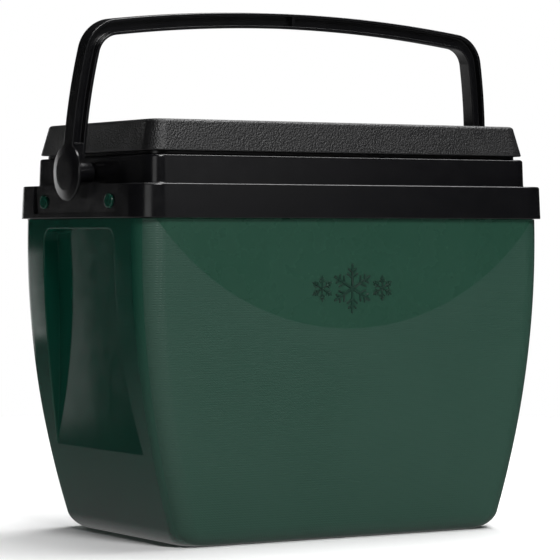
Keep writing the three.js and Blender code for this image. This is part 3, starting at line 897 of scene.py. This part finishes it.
def bail_filler(low, high):
    """The outline of a block that fills the I section between two heights."""
    half = BAIL_WIDTH / 2 - FILLER_INSET
    return rounded([
        (-half, low, FILLER_CORNER), (half, low, FILLER_CORNER),
        (half, high, FILLER_CORNER), (-half, high, FILLER_CORNER),
    ])


def bail():
    section = bail_section()
    stations = []
    for centre, radius, start, stop, steps in bail_arcs():
        stations += [(centre, radius, t) for t in spaced(start, stop, steps)[1 if stations else 0:]]
    right = []
    for centre, radius, t in stations:
        cos, sin = math.cos(t), math.sin(t)
        right.append([(centre.x + (radius - n) * cos, y, centre.y + (radius - n) * sin) for n, y in section])
    left = [[(-x, y, z) for x, y, z in one] for one in reversed(right[:-1])]
    band = skin("bail", right + left)
    foot = bail_filler(ARM_START_Z, ARM_RIB_Z)
    feet = both_ends(prism("foot", foot, ARM_X - BAIL_THICKNESS + 0.2, HUB_BACK_X + SUNK))
    rib = bail_filler(BAR_TOP_Z - BAIL_THICKNESS + SUNK, BAR_TOP_Z - SUNK)
    cross = prism("cross", rib, -RIB / 2, RIB / 2)
    hub = turned("hub", [
        (0, BOSS_END_X), (BOSS_RADIUS - 0.6, BOSS_END_X), (BOSS_RADIUS, BOSS_END_X + 0.6),
        (BOSS_RADIUS, HUB_BACK_X - 1.2), (BOSS_RADIUS + 1.2, HUB_BACK_X),
        (HUB_RADIUS - 0.7, HUB_BACK_X), (HUB_RADIUS, HUB_BACK_X + 0.7),
        (HUB_RADIUS, HUB_RIM_X - 0.7), (HUB_RADIUS - 0.6, HUB_RIM_X),
        (HUB_FACE_RADIUS + 0.8, HUB_FACE_X - 0.1), (HUB_FACE_RADIUS - 0.3, HUB_FACE_X), (0, HUB_FACE_X),
    ], 96)
    bore, seat, seat_x = PIN_RADIUS + GAP, PIN_HEAD_RADIUS + GAP, PIN_HEAD_BACK_X - GAP
    hollow = [(0, BOSS_END_X - PAST), (bore, BOSS_END_X - PAST), (bore, seat_x), (seat, seat_x)]
    hollow += [(seat, HUB_FACE_X + PAST), (0, HUB_FACE_X + PAST)]
    upright = cut(join(band, feet, cross, both_ends(hub)), both_ends(turned("bore", hollow, 96)))
    return leant(upright)


def pin():
    head = PIN_HEAD_RADIUS
    tip = PIN_TIP_CHAMFER
    return turned("pin", [
        (0, PIN_END_X), (PIN_RADIUS - tip, PIN_END_X), (PIN_RADIUS, PIN_END_X + tip),
        (PIN_RADIUS, PIN_HEAD_BACK_X),
        (head - 0.3, PIN_HEAD_BACK_X), (head, PIN_HEAD_BACK_X + 0.3), (head, PIN_HEAD_FACE_X - 0.4),
        (head - 0.2, PIN_HEAD_FACE_X - 0.15), (head - 0.6, PIN_HEAD_FACE_X), (0, PIN_HEAD_FACE_X),
    ], 96)


# ---------------------------------------------------------------- assembly
camera()
studio()

green = green_look()
emblem_green = gloss_look("emblem_green", (0.006, 0.026, 0.017), 0.3, 0.03)
black_gloss = gloss_look()
black_grain = grain_look()
white = light_look("liner_white", (0.74, 0.75, 0.74), (0.66, 0.68, 0.67), 0.32, 40, 0.0001)
foam = light_look("foam", (0.82, 0.80, 0.72), (0.70, 0.68, 0.60), 0.85, 300, 0.0006)

right_pin = pin()
right_pin.name = "pin_right"
left_pin = turned_round(right_pin)
left_pin.name = "pin_left"

pieces = [
    (shell(), "box", "green_shell", green, ["outer_shell"]),
    (emblem(), "box", "green_shell", emblem_green, []),
    (collar(), "box", "black_gloss", black_gloss, ["collar"]),
    (liner(), "box", "liner_white", white, ["inner_liner"]),
    (lid(), "lid", "black_grain", black_grain, ["lid_cap"]),
    (lid_pan(), "lid", "black_gloss", black_gloss, ["lid_liner"]),
    (bail(), "bail", "black_gloss", black_gloss, ["bail_handle"]),
    (right_pin, "bail", "black_gloss", black_gloss, ["pivot_pin_right"]),
    (left_pin, "bail", "black_gloss", black_gloss, ["pivot_pin_left"]),
]
for piece, body, slot, material, stands_for in pieces:
    soften(piece)
    piece.data.materials.clear()
    piece.data.materials.append(material)
    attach(piece, body)
    if stands_for:
        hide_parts(*stands_for)

for node, material in (
    ("insulation_tub", foam),
    ("lid_insulation", foam),
    ("pin_clip_left", black_gloss),
    ("pin_clip_right", black_gloss),
):
    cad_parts[node].data.materials.clear()
    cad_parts[node].data.materials.append(material)
